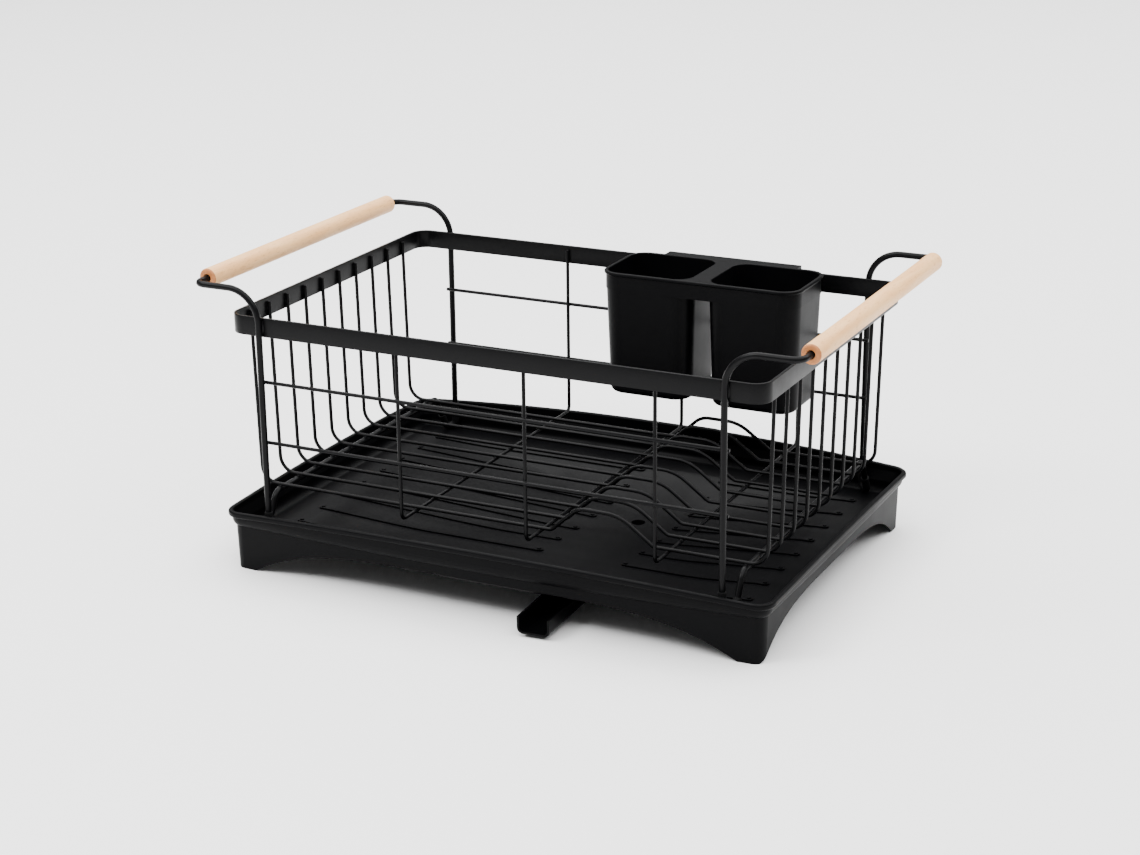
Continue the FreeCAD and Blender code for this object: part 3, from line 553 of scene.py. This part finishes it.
def beech(name, pale, dark, fleck, along, across, smooth):
    """Beech: noise with its own scales along and across the dowel for the growth bands, mixed
    from pale to dark, with short darker ray flecks where a second, finer noise is high."""
    material = bpy.data.materials.new(name)
    tree, add = node_maker(material)
    place = add("ShaderNodeTexCoord").outputs["Object"]
    grain_space = add("ShaderNodeMapping", Vector=place, Scale=(across, along, across)).outputs["Vector"]
    bands = add("ShaderNodeTexNoise", Vector=grain_space, Scale=1.0, Detail=5.0, Roughness=0.6)
    bands.inputs["Distortion"].default_value = 0.6
    tint = add("ShaderNodeMix", {"data_type": "RGBA"})
    tint.inputs[6].default_value = (*pale, 1.0)
    tint.inputs[7].default_value = (*dark, 1.0)
    band_share = add("ShaderNodeMapRange", Value=bands.outputs["Fac"], From_Min=0.35, From_Max=0.7)
    tree.links.new(band_share.outputs["Result"], tint.inputs[0])
    fleck_scale = (across * 11.0, along * 12.0, across * 11.0)
    fleck_space = add("ShaderNodeMapping", Vector=place, Scale=fleck_scale).outputs["Vector"]
    flecks = add("ShaderNodeTexNoise", Vector=fleck_space, Scale=1.0, Detail=1.0, Roughness=0.4)
    fleck_share = add("ShaderNodeMapRange", Value=flecks.outputs["Fac"], From_Min=0.6, From_Max=0.72)
    fleck_share.inputs["To Max"].default_value = 0.55
    marked = add("ShaderNodeMix", {"data_type": "RGBA"})
    marked.inputs[7].default_value = (*fleck, 1.0)
    tree.links.new(tint.outputs[2], marked.inputs[6])
    tree.links.new(fleck_share.outputs["Result"], marked.inputs[0])
    relief = add("ShaderNodeBump", Height=flecks.outputs["Fac"], Strength=0.5, Distance=0.06 * MM)
    sheen = add("ShaderNodeMapRange", Value=bands.outputs["Fac"], From_Min=0.3, From_Max=0.7)
    sheen.inputs["To Min"].default_value = smooth
    sheen.inputs["To Max"].default_value = smooth + 0.12
    shader = add("ShaderNodeBsdfPrincipled", Roughness=sheen.outputs["Result"])
    shader.inputs["Specular IOR Level"].default_value = 0.4
    tree.links.new(marked.outputs[2], shader.inputs["Base Color"])
    tree.links.new(relief.outputs["Normal"], shader.inputs["Normal"])
    out = add("ShaderNodeOutputMaterial")
    tree.links.new(shader.outputs["BSDF"], out.inputs["Surface"])
    return material


beech_side = beech(
    "varnished_beech",
    pale=(0.88, 0.52, 0.23),
    dark=(0.78, 0.40, 0.15),
    fleck=(0.55, 0.24, 0.08),
    along=14.0,
    across=120.0,
    smooth=0.42,
)
beech_end = beech(
    "beech_end_grain",
    pale=(0.46, 0.17, 0.05),
    dark=(0.33, 0.11, 0.03),
    fleck=(0.20, 0.06, 0.015),
    along=90.0,
    across=90.0,
    smooth=0.55,
)
for side_name in ("left", "right"):
    node = "grip_" + side_name
    low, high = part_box(node)
    centre_x, centre_z = (low[0] + high[0]) / 2, (low[2] + high[2]) / 2
    radius = (high[0] - low[0]) / 2
    quarter = np.linspace(0.0, tau / 4, 7)
    round_r = radius - GRIP_END_ROUND * (1 - np.sin(quarter))
    round_y = low[1] + GRIP_END_ROUND * (1 - np.cos(quarter))
    half_r = np.concatenate([[BORE_RADIUS, MOUTH_RADIUS, MOUTH_RADIUS], round_r])
    half_y = np.concatenate([[low[1] + MOUTH_DEPTH, low[1] + MOUTH_DEPTH, low[1]], round_y])
    profile_r = np.concatenate([half_r, half_r[::-1]])
    profile_y = np.concatenate([half_y, low[1] + high[1] - half_y[::-1]])
    swing = np.linspace(0.0, tau, GRIP_SIDES, endpoint=False)[:, None]
    grid = np.stack(
        [
            centre_x + profile_r * np.cos(swing),
            np.broadcast_to(profile_y, (GRIP_SIDES, len(profile_y))),
            centre_z + profile_r * np.sin(swing),
        ],
        axis=-1,
    )
    grip = make_piece("turned_" + node, [ring_skin(grid)], beech_side, node, [node], GRIP_CREASE)
    grip.data.materials.append(beech_end)
    facing = np.empty(len(grip.data.polygons) * 3)
    grip.data.polygons.foreach_get("normal", facing)
    is_end = np.abs(facing.reshape(-1, 3)[:, 1]) > END_GRAIN_SLOPE
    grip.data.polygons.foreach_set("material_index", is_end.astype(np.int32))

# ---------------------------------------------------------------------------------------
# Utensil holder: one injection moulding in black polypropylene. Two tapered cups share a
# bridge and a lip, and a hook along the back hangs over the rim.
# ---------------------------------------------------------------------------------------
holder_black = coated(
    "holder_black_plastic",
    dark=(0.0008, 0.0008, 0.001),
    light=(0.0016, 0.0016, 0.002),
    smooth=0.34,
    rough=0.44,
    patch=22.0,
    grain=1600.0,
    depth=0.02 * MM,
    specular=0.05,
)


def give(node, material):
    """Puts a material in every slot of a CAD node."""
    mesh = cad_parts[node].data
    if not mesh.materials:
        mesh.materials.append(material)
    for index in range(len(mesh.materials)):
        mesh.materials[index] = material


give("utensil_holder", holder_black)

# ---------------------------------------------------------------------------------------
# Drip tray: one large injection moulding in black polypropylene, with a finely grained
# floor. Its lip is rolled, its band is stepped in, and its skirt is arched between the feet.
# ---------------------------------------------------------------------------------------
tray_black = coated(
    "tray_black_plastic",
    dark=(0.0008, 0.0008, 0.001),
    light=(0.0018, 0.0018, 0.0022),
    smooth=0.36,
    rough=0.48,
    patch=14.0,
    grain=1100.0,
    depth=0.04 * MM,
    specular=0.05,
)
give("drip_tray", tray_black)

# ---------------------------------------------------------------------------------------
# Drain spout and its retaining ring: two small mouldings in the same plastic. The trough's
# hub turns on the boss under the drain hole, and the ring is snapped on below it.
# ---------------------------------------------------------------------------------------
give("drain_spout", holder_black)
give("spout_retaining_ring", holder_black)
